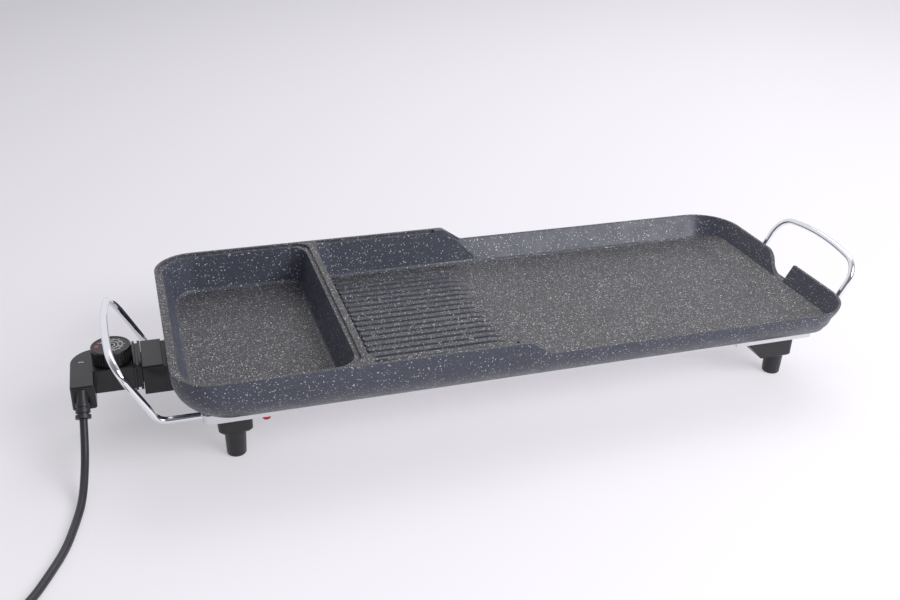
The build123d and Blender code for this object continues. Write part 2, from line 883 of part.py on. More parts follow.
def handle(end, middle_y, inner_x):
    """Wire handle: two straight ends for the clamps, and a loop that leans outward."""
    front = middle_y - handle_half_width
    back = middle_y + handle_half_width
    bend = end * handle_bend
    corner = end * (handle_bend + handle_reach)
    apex = end * (handle_bend + apex_rise * cos(radians(handle_lean)))
    corner_z = wire_height + handle_rise
    apex_z = wire_height + apex_rise * sin(radians(handle_lean))
    points = [
        at(inner_x, front, wire_height),
        at(bend, front, wire_height),
        at(corner, front, corner_z),
        at(apex, middle_y, apex_z),
        at(corner, back, corner_z),
        at(bend, back, wire_height),
        at(inner_x, back, wire_height),
    ]
    radii = [
        handle_bend_radius,
        handle_corner_radius,
        handle_bow_radius,
        handle_corner_radius,
        handle_bend_radius,
    ]
    with BuildPart() as wire:
        with BuildLine() as path:
            FilletPolyline(*points, radius=radii)
        with BuildSketch(Plane(origin=points[0], z_dir=(end, 0, 0))):
            Circle(wire_radius)
        sweep(path=path.wires()[0])
    return wire.part


left_wire = handle(-1, left_handle_y, left_clamp_x + clamp_length / 2 - wire_end_inset)
right_wire = handle(1, right_handle_y, right_clamp_x - clamp_length / 2 + wire_end_inset)

with BuildPart() as handle_left:
    add(left_wire)

with BuildPart() as handle_right:
    add(right_wire)


def handle_clamp(x, y):
    """Clamp that holds one wire end under a bracket, with an ear for its screw."""
    ear_middle = y + inward(y) * ear_reach
    with BuildPart() as clamp:
        with BuildSketch(across(x - clamp_length / 2)):
            with Locations((y, wire_height)):
                Circle(clamp_half)
            with Locations((y, (wire_height + bracket_bottom) / 2)):
                Rectangle(2 * clamp_half, bracket_bottom - wire_height)
            with Locations(((y + ear_middle) / 2, bracket_bottom - clamp_ear_thickness / 2)):
                Rectangle(abs(ear_middle - y), clamp_ear_thickness)
            with Locations((ear_middle, bracket_bottom - clamp_ear_thickness / 2)):
                Rectangle(clamp_ear, clamp_ear_thickness)
            with Locations((y, wire_height)):
                Circle(wire_radius, mode=Mode.SUBTRACT)
        extrude(amount=clamp_length)
        holes([(x, ear_middle)], small_hole, 0, bracket_bottom + past)
    return clamp.part


clamp_set = [handle_clamp(left_clamp_x, y) for y in left_wires]
clamp_set += [handle_clamp(right_clamp_x, y) for y in right_wires]

with BuildPart() as handle_clamps:
    add(clamp_set)

handle_clamp_screws_set = screws(
    left_ear_spots + right_ear_spots,
    bracket_bottom - clamp_ear_thickness,
    small_head_radius,
    small_head_height,
    clamp_screw_radius,
    floor_screw_tip,
)
with BuildPart() as handle_clamp_screws:
    add(handle_clamp_screws_set)

with BuildPart() as red_plug:
    with BuildSketch(level(bracket_bottom - red_plug_height)):
        with Locations((red_plug_x, red_plug_y)):
            Circle(red_plug_radius)
    extrude(amount=red_plug_height)
    fillet(red_plug.edges().group_by(Axis.Z)[0], red_plug_round)
    with BuildSketch(level(bracket_bottom)):
        with Locations((red_plug_x, red_plug_y)):
            Circle(red_stem_radius)
    extrude(amount=floor_screw_tip - bracket_bottom)

# Heating element, its terminals and its clamps
with BuildPart() as heating_element:
    element_points = [
        at(element_end, pin_ys[1], element_z),
        at(element_left, pin_ys[1], element_z),
        at(element_left, outer_run_y, element_z),
        at(element_right, outer_run_y, element_z),
        at(element_right, inner_run_y, element_z),
        at(inner_left, inner_run_y, element_z),
        at(inner_left, -inner_run_y, element_z),
        at(element_right, -inner_run_y, element_z),
        at(element_right, -outer_run_y, element_z),
        at(element_left, -outer_run_y, element_z),
        at(element_left, pin_ys[0], element_z),
        at(element_end, pin_ys[0], element_z),
    ]
    return_radius = (outer_run_y - inner_run_y) / 2 - element_fit
    middle_radius = inner_run_y - element_fit
    element_radii = [element_corner] * 2 + [return_radius] * 2 + [middle_radius] * 2
    element_radii += [return_radius] * 2 + [element_corner] * 2
    with BuildLine() as element_path:
        FilletPolyline(*element_points, radius=element_radii)
    with BuildSketch(Plane(origin=element_points[0], z_dir=(1, 0, 0))):
        Circle(element_radius)
    sweep(path=element_path.wires()[0])

with BuildPart() as element_clamps:
    strap_inner = inner_run_y - element_radius - strap_margin
    strap_outer = outer_run_y + element_radius + strap_margin
    with BuildSketch(level(strap_top - strap_sheet)):
        for x in strap_x:
            for turn in (-1, 1):
                with Locations((x, turn * (strap_inner + strap_outer) / 2)):
                    RectangleRounded(strap_width, strap_outer - strap_inner, strap_corner)
        with Locations(*strap_spots):
            Circle(small_hole, mode=Mode.SUBTRACT)
    extrude(amount=strap_sheet)

clamp_screws_set = screws(
    strap_spots,
    strap_top - strap_sheet,
    small_head_radius,
    small_head_height,
    clamp_screw_radius,
    strap_top + clamp_screw_bite,
)
with BuildPart() as clamp_screws:
    add(clamp_screws_set)

with BuildPart() as terminal_pins:
    with BuildSketch(across(element_end)):
        with Locations(*[(y, element_z) for y in pin_ys]):
            Circle(pin_radius)
    extrude(amount=pin_end - element_end)
    chamfer(terminal_pins.edges().group_by(Axis.X)[0], pin_chamfer)

with BuildPart() as terminal_insulators:
    with BuildSketch(across(element_end - bead_length)):
        with Locations(*[(y, element_z) for y in pin_ys]):
            Circle(element_radius)
            Circle(pin_radius, mode=Mode.SUBTRACT)
    extrude(amount=bead_length)

with BuildPart() as probe_sleeve:
    with BuildSketch(across(element_end - sleeve_set_back)):
        with Locations((socket_y, element_z)):
            Circle(sleeve_outer_radius)
            Circle(sleeve_bore_radius, mode=Mode.SUBTRACT)
    extrude(amount=sleeve_length)

# Bent strip that holds the terminals and earths the controller
with BuildPart() as earth_clip:
    plate_left = tray_left + tray_sheet
    plate_half = pin_plate_width / 2
    plate_top = element_z + pin_plate_rise
    box_between(
        plate_left,
        plate_left + pin_plate_foot,
        socket_y - plate_half,
        socket_y + plate_half,
        tray_floor,
        tray_floor + pin_plate_sheet,
    )
    box_between(
        plate_left,
        plate_left + pin_plate_sheet,
        socket_y - plate_half,
        socket_y + plate_half,
        tray_floor,
        plate_top,
    )
    earth_low = socket_y - earth_width / 2
    earth_high = socket_y + earth_width / 2
    bridge_top = earth_bridge_z + earth_sheet
    leaf_right = earth_end + earth_leaf
    bridge_right = plate_left + earth_overlap
    riser_right = earth_riser + earth_sheet
    box_between(earth_riser, bridge_right, earth_low, earth_high, earth_bridge_z, bridge_top)
    box_between(earth_riser, riser_right, earth_low, earth_high, shroud_floor, bridge_top)
    strip_right = earth_riser + earth_overlap
    strip_top = shroud_floor + earth_sheet
    box_between(earth_end, strip_right, earth_low, earth_high, shroud_floor, strip_top)
    box_between(earth_end, earth_end + leaf_sheet, earth_low, earth_high, shroud_floor, earth_leaf_top)
    box_between(earth_end, leaf_right, earth_low, earth_high, earth_leaf_top - leaf_sheet, earth_leaf_top)
    holes(shroud_screw_spots, shroud_hole, tray_floor - past, tray_floor + pin_plate_sheet + past)
    with BuildSketch(across(plate_left - past)):
        with Locations(*[(y, element_z) for y in pin_ys]):
            Circle(element_radius + element_fit)
        with Locations((socket_y, element_z)):
            Circle(sleeve_outer_radius)
    extrude(amount=pin_plate_sheet + 2 * past, mode=Mode.SUBTRACT)

with BuildPart() as socket_shroud:
    shroud_low = socket_y - shroud_width / 2
    shroud_high = socket_y + shroud_width / 2
    neck_top = shroud_top - shroud_neck_drop
    box_between(shroud_left, shroud_step, shroud_low, shroud_high, shroud_bottom, shroud_top)
    fillet(socket_shroud.edges().filter_by(Axis.X), shroud_rounding)
    neck_low = shroud_low + neck_inset
    neck_high = shroud_high - neck_inset
    box_between(shroud_step, shroud_inner_end, neck_low, neck_high, shroud_bottom, neck_top)
    add(pan_keepout.part, mode=Mode.SUBTRACT)
    box_between(
        shroud_step + neck_roof,
        shroud_inner_end + past,
        shroud_low,
        shroud_high,
        pan_bottom - end_wall_gap,
        pan_floor,
        Mode.SUBTRACT,
    )
    tunnel_half = shroud_width / 2 - shroud_wall
    box_between(
        shroud_left - past,
        shroud_inner_end + past,
        socket_y - tunnel_half,
        socket_y + tunnel_half,
        shroud_floor,
        shroud_ceiling,
        Mode.SUBTRACT,
    )
    box_between(
        shroud_inner_end - tongue_overlap,
        tongue_end,
        socket_y - tongue_width / 2,
        socket_y + tongue_width / 2,
        bracket_bottom - tongue_thickness,
        bracket_bottom,
    )
    holes(shroud_screw_spots, shroud_hole, shroud_bottom - past, bracket_bottom + past)

shroud_screws_set = screws(
    shroud_screw_spots,
    bracket_bottom - tongue_thickness,
    shroud_head_radius,
    small_head_height,
    shroud_screw_radius,
    floor_screw_tip,
)
with BuildPart() as shroud_screws:
    add(shroud_screws_set)

# Controller: a two-part case with an outlet leg, drawn from above
outlet_right = case_left + outlet_width


def case_outline(z, inset=0.0):
    """The case seen from above, drawn in by the wall's thickness for its hollow."""
    left = case_left + inset
    back = case_back - inset
    front = case_front + inset
    right = case_right - inset
    leg_right = outlet_right - inset
    with BuildSketch(level(z)) as outline:
        with BuildLine():
            Polyline(
                (right, front),
                (leg_right, front),
                (leg_right, outlet_front + inset),
                (left, outlet_front + inset),
                (left, back),
                (right, back),
                close=True,
            )
        make_face()
        corners = outline.vertices()
        back_left = [v for v in corners if abs(v.X - left) < 0.1 and abs(v.Y - back) < 0.1]
        hollow_corner = [v for v in corners if abs(v.X - leg_right) < 0.1 and abs(v.Y - front) < 0.1]
        fillet(back_left, outer_case_corner - inset)
        fillet(hollow_corner, inner_case_corner + inset)
        leg_ends = [v for v in outline.vertices() if abs(v.Y - outlet_front - inset) < 0.1]
        fillet(leg_ends, case_corner - inset * 0.8)
    return outline.sketch


housing_half = housing_width / 2

with BuildPart() as controller_lower_case:
    extrude(case_outline(case_bottom), amount=parting - case_bottom)
    fillet(controller_lower_case.edges().group_by(Axis.Z)[0], case_edge)
    case_floor = case_bottom + case_wall
    extrude(case_outline(case_floor, case_wall), amount=parting - case_floor, mode=Mode.SUBTRACT)
    with BuildSketch(level(case_floor)):
        with Locations(*case_boss_spots):
            Circle(case_boss_radius)
    extrude(amount=parting - case_floor)
    holes(case_boss_spots, case_screw_radius + screw_hole_gap, case_bottom - past, parting + past)
    head_seat = case_bottom + case_screw_head_height
    holes(case_boss_spots, case_screw_head_radius + head_gap, case_bottom - past, head_seat)
    box_between(
        case_right - case_wall - past,
        case_right + past,
        socket_y - housing_half,
        socket_y + housing_half,
        housing_bottom,
        parting + past,
        Mode.SUBTRACT,
    )
    with Locations(Plane(origin=at(cord_exit_x, outlet_front - past, cord_exit_z), z_dir=(0, 1, 0))):
        Cylinder(boot_neck_radius, neck_cut, align=stands, mode=Mode.SUBTRACT)

with BuildPart() as controller_upper_case:
    case_ceiling = case_top - case_wall
    extrude(case_outline(parting), amount=case_top - parting)
    fillet(controller_upper_case.edges().group_by(Axis.Z)[-1], case_edge)
    extrude(case_outline(parting, case_wall), amount=case_ceiling - parting, mode=Mode.SUBTRACT)
    with BuildSketch(level(parting)):
        with Locations(*case_boss_spots):
            Circle(case_boss_radius)
    extrude(amount=case_ceiling - parting)
    holes(case_boss_spots, case_screw_radius, parting - past, case_screw_tip)
    box_between(
        case_right - case_wall - past,
        case_right + past,
        socket_y - housing_half,
        socket_y + housing_half,
        parting - past,
        housing_top,
        Mode.SUBTRACT,
    )
    with Locations(Plane(origin=at(cord_exit_x, outlet_front - past, cord_exit_z), z_dir=(0, 1, 0))):
        Cylinder(boot_neck_radius, neck_cut, align=stands, mode=Mode.SUBTRACT)
    holes([(dial_x, dial_y)], shaft_radius + shaft_fit, case_ceiling - past, case_top + past)
    box_between(
        lens_x - lens_length / 2,
        lens_x + lens_length / 2,
        lens_y - lens_width / 2,
        lens_y + lens_width / 2,
        case_ceiling - past,
        case_top + past,
        Mode.SUBTRACT,
    )

case_screws_set = screws(
    case_boss_spots,
    case_bottom + case_screw_head_height,
    case_screw_head_radius,
    case_screw_head_height - screw_hole_gap,
    case_screw_radius,
    case_screw_tip,
)
with BuildPart() as case_screws:
    add(case_screws_set)

with BuildPart() as controller_collar:
    collar_left = case_right
    collar_right = collar_left + 2 * collar_plate + collar_gap
    collar_low = case_front - collar_margin_front
    collar_high = case_back + collar_margin_back
    collar_bottom = case_bottom - collar_rise
    collar_top = case_top + collar_rise
    for plate_x in (collar_left, collar_right - collar_plate):
        box_between(plate_x, plate_x + collar_plate, collar_low, collar_high, collar_bottom, collar_top)
    fillet(controller_collar.edges().filter_by(Axis.X), 2 * collar_plate)
    fillet(controller_collar.edges().filter_by(Axis.X, reverse=True), collar_edge)
    box_between(
        collar_left + collar_plate,
        collar_right - collar_plate,
        collar_low + collar_neck_inset,
        collar_high - collar_neck_inset,
        collar_bottom + collar_neck_inset,
        collar_top - collar_neck_inset,
    )
    box_between(
        collar_left - past,
        collar_right + past,
        socket_y - housing_half,
        socket_y + housing_half,
        housing_bottom,
        housing_top,
        Mode.SUBTRACT,
    )

contact_right = housing_right - contact_recess
with BuildPart() as contact_housing:
    box_between(
        housing_left,
        housing_right,
        socket_y - housing_half,
        socket_y + housing_half,
        housing_bottom,
        housing_top,
    )
    fillet(contact_housing.faces().sort_by(Axis.X)[-1].edges(), housing_edge)
    with BuildSketch(across(contact_right - contact_length)):
        with Locations(*[(y, element_z) for y in pin_ys]):
            Circle(contact_radius)
    extrude(amount=contact_length + contact_recess + past, mode=Mode.SUBTRACT)
    with BuildSketch(across(housing_left - past)):
        with Locations((socket_y, element_z)):
            Circle(probe_radius)
    extrude(amount=housing_right - housing_left + 2 * past, mode=Mode.SUBTRACT)

with BuildPart() as contact_sleeves:
    with BuildSketch(across(contact_right - contact_length)):
        with Locations(*[(y, element_z) for y in pin_ys]):
            Circle(contact_radius)
            Circle(pin_radius + contact_fit, mode=Mode.SUBTRACT)
    extrude(amount=contact_length)

with BuildPart() as probe_rod:
    with BuildSketch(across(probe_start)):
        with Locations((socket_y, element_z)):
            Circle(probe_radius)
    extrude(amount=probe_end - probe_start)
    fillet(probe_rod.edges().group_by(Axis.X)[-1], probe_round)

with BuildPart() as switch_base:
    base_left, base_right, base_front, base_back = switch_base_box
    box_between(base_left, base_right, base_front, base_back, case_floor, switch_base_top)
    box_between(
        blade_post_x - blade_width / 2,
        blade_post_x + blade_width / 2,
        dial_y - blade_width / 2,
        dial_y + blade_width / 2,
        switch_base_top,
        blade_z,
    )

blade_front = dial_y - blade_width / 2
blade_back = dial_y + blade_width / 2
with BuildPart() as bimetal_blade:
    blade_start = blade_post_x - blade_width / 2
    box_between(blade_start, blade_end, blade_front, blade_back, blade_z, blade_z + blade_sheet)

with BuildPart() as contact_arm:
    arm_top = switch_base_top + blade_sheet
    box_between(contact_arm_left, blade_end, blade_front, blade_back, switch_base_top, arm_top)
    with Locations(at(blade_end - blade_width / 2, dial_y, arm_top)):
        Cone(*contact_point, align=stands)

with BuildPart() as pilot_lamp:
    lens_seat = case_ceiling - lens_flange
    with BuildSketch(level(switch_base_top)):
        with Locations((lens_x, lens_y)):
            Circle(lamp_radius)
    extrude(amount=lens_seat - switch_base_top)

with BuildPart() as lamp_lens:
    flange_x = lens_length / 2 + lens_flange
    flange_y = lens_width / 2 + lens_flange
    box_between(
        lens_x - flange_x, lens_x + flange_x, lens_y - flange_y, lens_y + flange_y, lens_seat, case_ceiling
    )
    box_between(
        lens_x - lens_length / 2,
        lens_x + lens_length / 2,
        lens_y - lens_width / 2,
        lens_y + lens_width / 2,
        case_ceiling,
        case_top,
    )


def lead(points):
    """An insulated wire inside the case."""
    places = [at(*point) for point in points]
    with BuildPart() as wire:
        with BuildLine() as path:
            FilletPolyline(*places, radius=lead_bend)
        with BuildSketch(Plane(origin=places[0], z_dir=Vector(*places[1]) - Vector(*places[0]))):
            Circle(lead_radius)
        sweep(path=path.wires()[0])
    return wire.part


lead_start = outlet_front + case_wall + boot_flange
front_lead = [
    (left_end - 77, lead_start, 64),
    (left_end - 77, -33, 64),
    (left_end - 62, -22, 61),
    (left_end - 54, pin_ys[0], 61),
    (housing_left, pin_ys[0], 61),
]
back_lead = [
    (left_end - 73.5, lead_start, 66.5),
    (left_end - 73.5, -40, 66.5),
    (left_end - 80, -30, 66.5),
    (left_end - 80, -4, 66.5),
    (left_end - 65, 1, 66.5),
    (left_end - 53, 2, 61),
    (housing_left, 2, 61),
]
lead_set = [lead(points) for points in (front_lead, back_lead)]

with BuildPart() as lead_wires:
    add(lead_set)

# Dial
dial_bottom = case_top + dial_gap
dial_top = dial_bottom + dial_height

with BuildPart() as dial_knob:
    with BuildSketch(level(dial_bottom)):
        with Locations((dial_x, dial_y)):
            Circle(dial_radius)
    extrude(amount=dial_height)
    fillet(dial_knob.edges().group_by(Axis.Z)[-1], dial_edge)
    with BuildSketch(level(dial_bottom + dial_edge)):
        with Locations((dial_x, dial_y)):
            with PolarLocations(dial_radius, grip_count):
                Circle(grip_radius)
    extrude(amount=dial_height - 3 * dial_edge, mode=Mode.SUBTRACT)
    with BuildSketch(level(dial_bottom)):
        with Locations((dial_x, dial_y)):
            Circle(dial_radius - dial_skirt)
            Circle(hub_radius, mode=Mode.SUBTRACT)
    extrude(amount=knob_hollow_depth, mode=Mode.SUBTRACT)
    holes([(dial_x, dial_y)], shaft_radius, dial_bottom - past, dial_bottom + shaft_bore_depth)
    holes([(dial_x, dial_y)], dial_face_radius, dial_top - dial_face_depth, dial_top + past)

with BuildPart() as dial_plate:
    with BuildSketch(level(dial_top - dial_face_depth)):
        with Locations((dial_x, dial_y)):
            Circle(dial_face_radius)
    extrude(amount=dial_face_depth - plate_recess)

with BuildPart() as dial_shaft:
    with BuildSketch(level(shaft_bottom)):
        with Locations((dial_x, dial_y)):
            Circle(shaft_radius)
    extrude(amount=dial_bottom + shaft_bore_depth - shaft_bottom)

# Strain relief: a neck through the case's wall, then a ringed boot that droops to the cord
def along_boot(distance):
    """Plane across the boot, at a distance from the case."""
    place = boot_start + boot_axis * distance
    return Plane(origin=at(place.X, place.Y, place.Z), z_dir=boot_axis)


with BuildPart() as strain_relief:
    with BuildSketch(along_boot(-boot_radius)):
        Circle(boot_radius)
    extrude(amount=boot_length + boot_radius)
    for ring in range(boot_rings):
        ring_end = boot_length - ring * boot_ring_pitch
        with BuildSketch(along_boot(ring_end - boot_ring_length)):
            Circle(boot_ring_radius - ring * boot_ring_step)
        extrude(amount=boot_ring_length)
    box_between(
        cord_exit_x - far,
        cord_exit_x + far,
        outlet_front,
        outlet_front + far,
        case_bottom,
        case_top,
        Mode.SUBTRACT,
    )
    neck_length = case_wall + boot_flange
    with Locations(Plane(origin=at(cord_exit_x, outlet_front, cord_exit_z), z_dir=(0, 1, 0))):
        Cylinder(boot_neck_radius, neck_length, align=stands)
    with Locations(Plane(origin=at(cord_exit_x, outlet_front + case_wall, cord_exit_z), z_dir=(0, 1, 0))):
        Cylinder(boot_flange_radius, boot_flange, align=stands)


def bend_radii(points, share=0.45):
    """Bend radius at each inner point, from the shorter run beside it."""
    radii = []
    for before, corner, after in zip(points, points[1:], points[2:]):
        run_in = Vector(*corner) - Vector(*before)
        run_out = Vector(*after) - Vector(*corner)
        half_turn = radians(run_in.get_angle(run_out)) / 2
        radii.append(share * min(run_in.length, run_out.length) / tan(half_turn))
    return radii


# Cord: from the boot down to the table and along it, then a tied coil in two layers, and the plug
lower_z = tie_sheet + tie_gap + cord_radius
upper_z = lower_z + coil_layer
cord_run_points = list(cord_points)
cord_run_points.append((coil_x, coil_y + coil_corner_lead, lower_z))
cord_run_points.append((coil_x, coil_y + coil_lead, lower_z))
cord_places = [at(*point) for point in cord_run_points]
cord_radii = bend_radii(cord_places)

with BuildPart() as cord_run:
    with BuildLine() as cord_path:
        FilletPolyline(*cord_places, radius=cord_radii)
    with BuildSketch(Plane(origin=cord_places[0], z_dir=Vector(*cord_places[1]) - Vector(*cord_places[0]))):
        Circle(cord_radius)
    sweep(path=cord_path.wires()[0])

half_pitch = coil_pitch / 2
with BuildPart() as cord_coil:
    with BuildLine() as coil_path:
        coil_start = at(coil_x, coil_y + coil_lead, lower_z)
        here = Vector(*at(coil_x, coil_y, lower_z))
        Line(coil_start, here)
        # Lower layer, spiralling in
        for turn in range(lower_half_turns):
            radius = coil_inner_radius + (lower_half_turns - 1 - turn) * half_pitch
            way = 1 if turn % 2 == 0 else -1
            middle = here + Vector(way * radius, -way * radius, 0)
            there = here + Vector(way * 2 * radius, 0, 0)
            ThreePointArc(here, middle, there)
            here = there
        # Half a turn that climbs a layer
        radius = coil_inner_radius - half_pitch
        reach = sqrt(radius**2 + coil_layer**2 / 4)
        middle = here + Vector(-radius, reach, coil_layer / 2)
        there = here + Vector(-2 * radius, 0, coil_layer)
        TangentArc(here, middle, tangent=(0, 1, 0))
        TangentArc(middle, there, tangent=(-radius, 0, coil_layer / 2))
        here = there
        # Upper layer, spiralling out
        for turn in range(upper_half_turns):
            radius = coil_inner_radius + turn * half_pitch
            way = 1 if turn % 2 == 0 else -1
            middle = here + Vector(way * radius, -way * radius, 0)
            there = here + Vector(way * 2 * radius, 0, 0)
            ThreePointArc(here, middle, there)
            here = there
        coil_end = here + Vector(0, -tail_length, 0)
        Line(here, coil_end)
    with BuildSketch(Plane(origin=coil_start, z_dir=(0, -1, 0))):
        Circle(cord_radius)
    sweep(path=coil_path.wires()[0])

coil_wire = coil_path.wires()[0]
cord_length = cord_path.wires()[0].length + coil_wire.length

# The coil's least gap to itself, between places further apart along it than four diameters
sample_count = int(coil_wire.length / sample_step)
samples = [tuple(coil_wire @ (place / sample_count)) for place in range(sample_count + 1)]
apart = int(8 * cord_radius / sample_step)
least_distance = coil_wire.length
for place, here in enumerate(samples):
    for there in samples[place + apart :]:
        distance = sqrt((here[0] - there[0]) ** 2 + (here[1] - there[1]) ** 2 + (here[2] - there[2]) ** 2)
        least_distance = min(least_distance, distance)

with BuildPart() as cord_tie:
    widest = coil_inner_radius + (lower_half_turns - 1) * half_pitch
    tie_x = coil_x + widest + half_pitch
    tie_out = coil_y - widest - cord_radius - tie_gap
    slack = coil_inner_radius - sqrt(coil_inner_radius**2 - (half_pitch + tie_width / 2) ** 2)
    tie_in = coil_y - coil_inner_radius + cord_radius + tie_gap + slack
    tie_top = upper_z + cord_radius + tie_gap
    tie_low_x = tie_x - tie_width / 2
    tie_high_x = tie_x + tie_width / 2
    box_between(
        tie_low_x, tie_high_x, tie_out - tie_sheet, tie_in + tie_sheet, 0, tie_top + tie_sheet
    )
    box_between(tie_low_x - past, tie_high_x + past, tie_out, tie_in, tie_sheet, tie_top, Mode.SUBTRACT)

with BuildPart() as plug_body:
    plug_start = coil_end.Y
    with BuildSketch(level(0)):
        with Locations((coil_x, plug_start - plug_length / 2)):
            RectangleRounded(plug_width, plug_length, plug_corner)
    extrude(amount=2 * upper_z)
    fillet(plug_body.edges().group_by(Axis.Z)[-1], plug_edge)
    fillet(plug_body.edges().group_by(Axis.Z)[0], plug_edge)

with BuildPart() as plug_pins:
    pin_plane = Plane(origin=at(coil_x, plug_start - plug_length, upper_z), z_dir=(0, -1, 0))
    with BuildSketch(pin_plane):
        with GridLocations(plug_pin_spacing, 1, 2, 1):
            Circle(plug_pin_radius)
    extrude(amount=plug_pin_length)
    fillet(plug_pins.edges().group_by(Axis.Y)[0], plug_pin_round)

print("cord length", round(cord_length, 1), "bends", [round(radius, 1) for radius in cord_radii])
print("coil's least gap to itself", round(least_distance - 2 * cord_radius, 2))
print("pan_x", round(pan_x, 3), "handle tip", round(handle_tip + pan_x, 3))

# Written out, one file a piece
pan_whole.part.label = "pan"
export_step(pan_whole.part, "parts/pan.step")
tray.part.label = "tray"
export_step(tray.part, "parts/tray.step")
bracket_left.part.label = "bracket_left"
export_step(bracket_left.part, "parts/bracket_left.step")
bracket_right.part.label = "bracket_right"
export_step(bracket_right.part, "parts/bracket_right.step")
foot_front_left.part.label = "foot_front_left"
export_step(foot_front_left.part, "parts/foot_front_left.step")
foot_front_right.part.label = "foot_front_right"
export_step(foot_front_right.part, "parts/foot_front_right.step")
foot_back_left.part.label = "foot_back_left"
export_step(foot_back_left.part, "parts/foot_back_left.step")
foot_back_right.part.label = "foot_back_right"
export_step(foot_back_right.part, "parts/foot_back_right.step")
foot_screws.part.label = "foot_screws"
export_step(foot_screws.part, "parts/foot_screws.step")
foot_nuts.part.label = "foot_nuts"
export_step(foot_nuts.part, "parts/foot_nuts.step")
tray_screws.part.label = "tray_screws"
export_step(tray_screws.part, "parts/tray_screws.step")
handle_left.part.label = "handle_left"
export_step(handle_left.part, "parts/handle_left.step")
handle_right.part.label = "handle_right"
export_step(handle_right.part, "parts/handle_right.step")
handle_clamps.part.label = "handle_clamps"
export_step(handle_clamps.part, "parts/handle_clamps.step")
handle_clamp_screws.part.label = "handle_clamp_screws"
export_step(handle_clamp_screws.part, "parts/handle_clamp_screws.step")
red_plug.part.label = "red_plug"
export_step(red_plug.part, "parts/red_plug.step")
heating_element.part.label = "heating_element"
export_step(heating_element.part, "parts/heating_element.step")
element_clamps.part.label = "element_clamps"
export_step(element_clamps.part, "parts/element_clamps.step")
clamp_screws.part.label = "clamp_screws"
export_step(clamp_screws.part, "parts/clamp_screws.step")
terminal_pins.part.label = "terminal_pins"
export_step(terminal_pins.part, "parts/terminal_pins.step")
terminal_insulators.part.label = "terminal_insulators"
export_step(terminal_insulators.part, "parts/terminal_insulators.step")
probe_sleeve.part.label = "probe_sleeve"
export_step(probe_sleeve.part, "parts/probe_sleeve.step")
earth_clip.part.label = "earth_clip"
export_step(earth_clip.part, "parts/earth_clip.step")
socket_shroud.part.label = "socket_shroud"
export_step(socket_shroud.part, "parts/socket_shroud.step")
shroud_screws.part.label = "shroud_screws"
export_step(shroud_screws.part, "parts/shroud_screws.step")
controller_lower_case.part.label = "controller_lower_case"
export_step(controller_lower_case.part, "parts/controller_lower_case.step")
controller_upper_case.part.label = "controller_upper_case"
export_step(controller_upper_case.part, "parts/controller_upper_case.step")
case_screws.part.label = "case_screws"
export_step(case_screws.part, "parts/case_screws.step")
controller_collar.part.label = "controller_collar"
export_step(controller_collar.part, "parts/controller_collar.step")
contact_housing.part.label = "contact_housing"
export_step(contact_housing.part, "parts/contact_housing.step")
contact_sleeves.part.label = "contact_sleeves"
export_step(contact_sleeves.part, "parts/contact_sleeves.step")
probe_rod.part.label = "probe_rod"
export_step(probe_rod.part, "parts/probe_rod.step")
switch_base.part.label = "switch_base"
export_step(switch_base.part, "parts/switch_base.step")
bimetal_blade.part.label = "bimetal_blade"
export_step(bimetal_blade.part, "parts/bimetal_blade.step")
contact_arm.part.label = "contact_arm"
export_step(contact_arm.part, "parts/contact_arm.step")
pilot_lamp.part.label = "pilot_lamp"
export_step(pilot_lamp.part, "parts/pilot_lamp.step")
lamp_lens.part.label = "lamp_lens"
export_step(lamp_lens.part, "parts/lamp_lens.step")
lead_wires.part.label = "lead_wires"
export_step(lead_wires.part, "parts/lead_wires.step")
dial_knob.part.label = "dial_knob"
export_step(dial_knob.part, "parts/dial_knob.step")
dial_plate.part.label = "dial_plate"
export_step(dial_plate.part, "parts/dial_plate.step")
dial_shaft.part.label = "dial_shaft"
export_step(dial_shaft.part, "parts/dial_shaft.step")
strain_relief.part.label = "strain_relief"
export_step(strain_relief.part, "parts/strain_relief.step")
cord_run.part.label = "cord_run"
export_step(cord_run.part, "parts/cord_run.step")
cord_coil.part.label = "cord_coil"
export_step(cord_coil.part, "parts/cord_coil.step")
cord_tie.part.label = "cord_tie"
export_step(cord_tie.part, "parts/cord_tie.step")
plug_body.part.label = "plug_body"
export_step(plug_body.part, "parts/plug_body.step")
plug_pins.part.label = "plug_pins"
export_step(plug_pins.part, "parts/plug_pins.step")
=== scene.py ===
"""Electric table grill, dressed for rendering. Metres, +Z up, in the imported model's own frame."""

import json
from math import cos, pi, radians, sin

import bmesh
import bpy
from mathutils import Matrix, Vector

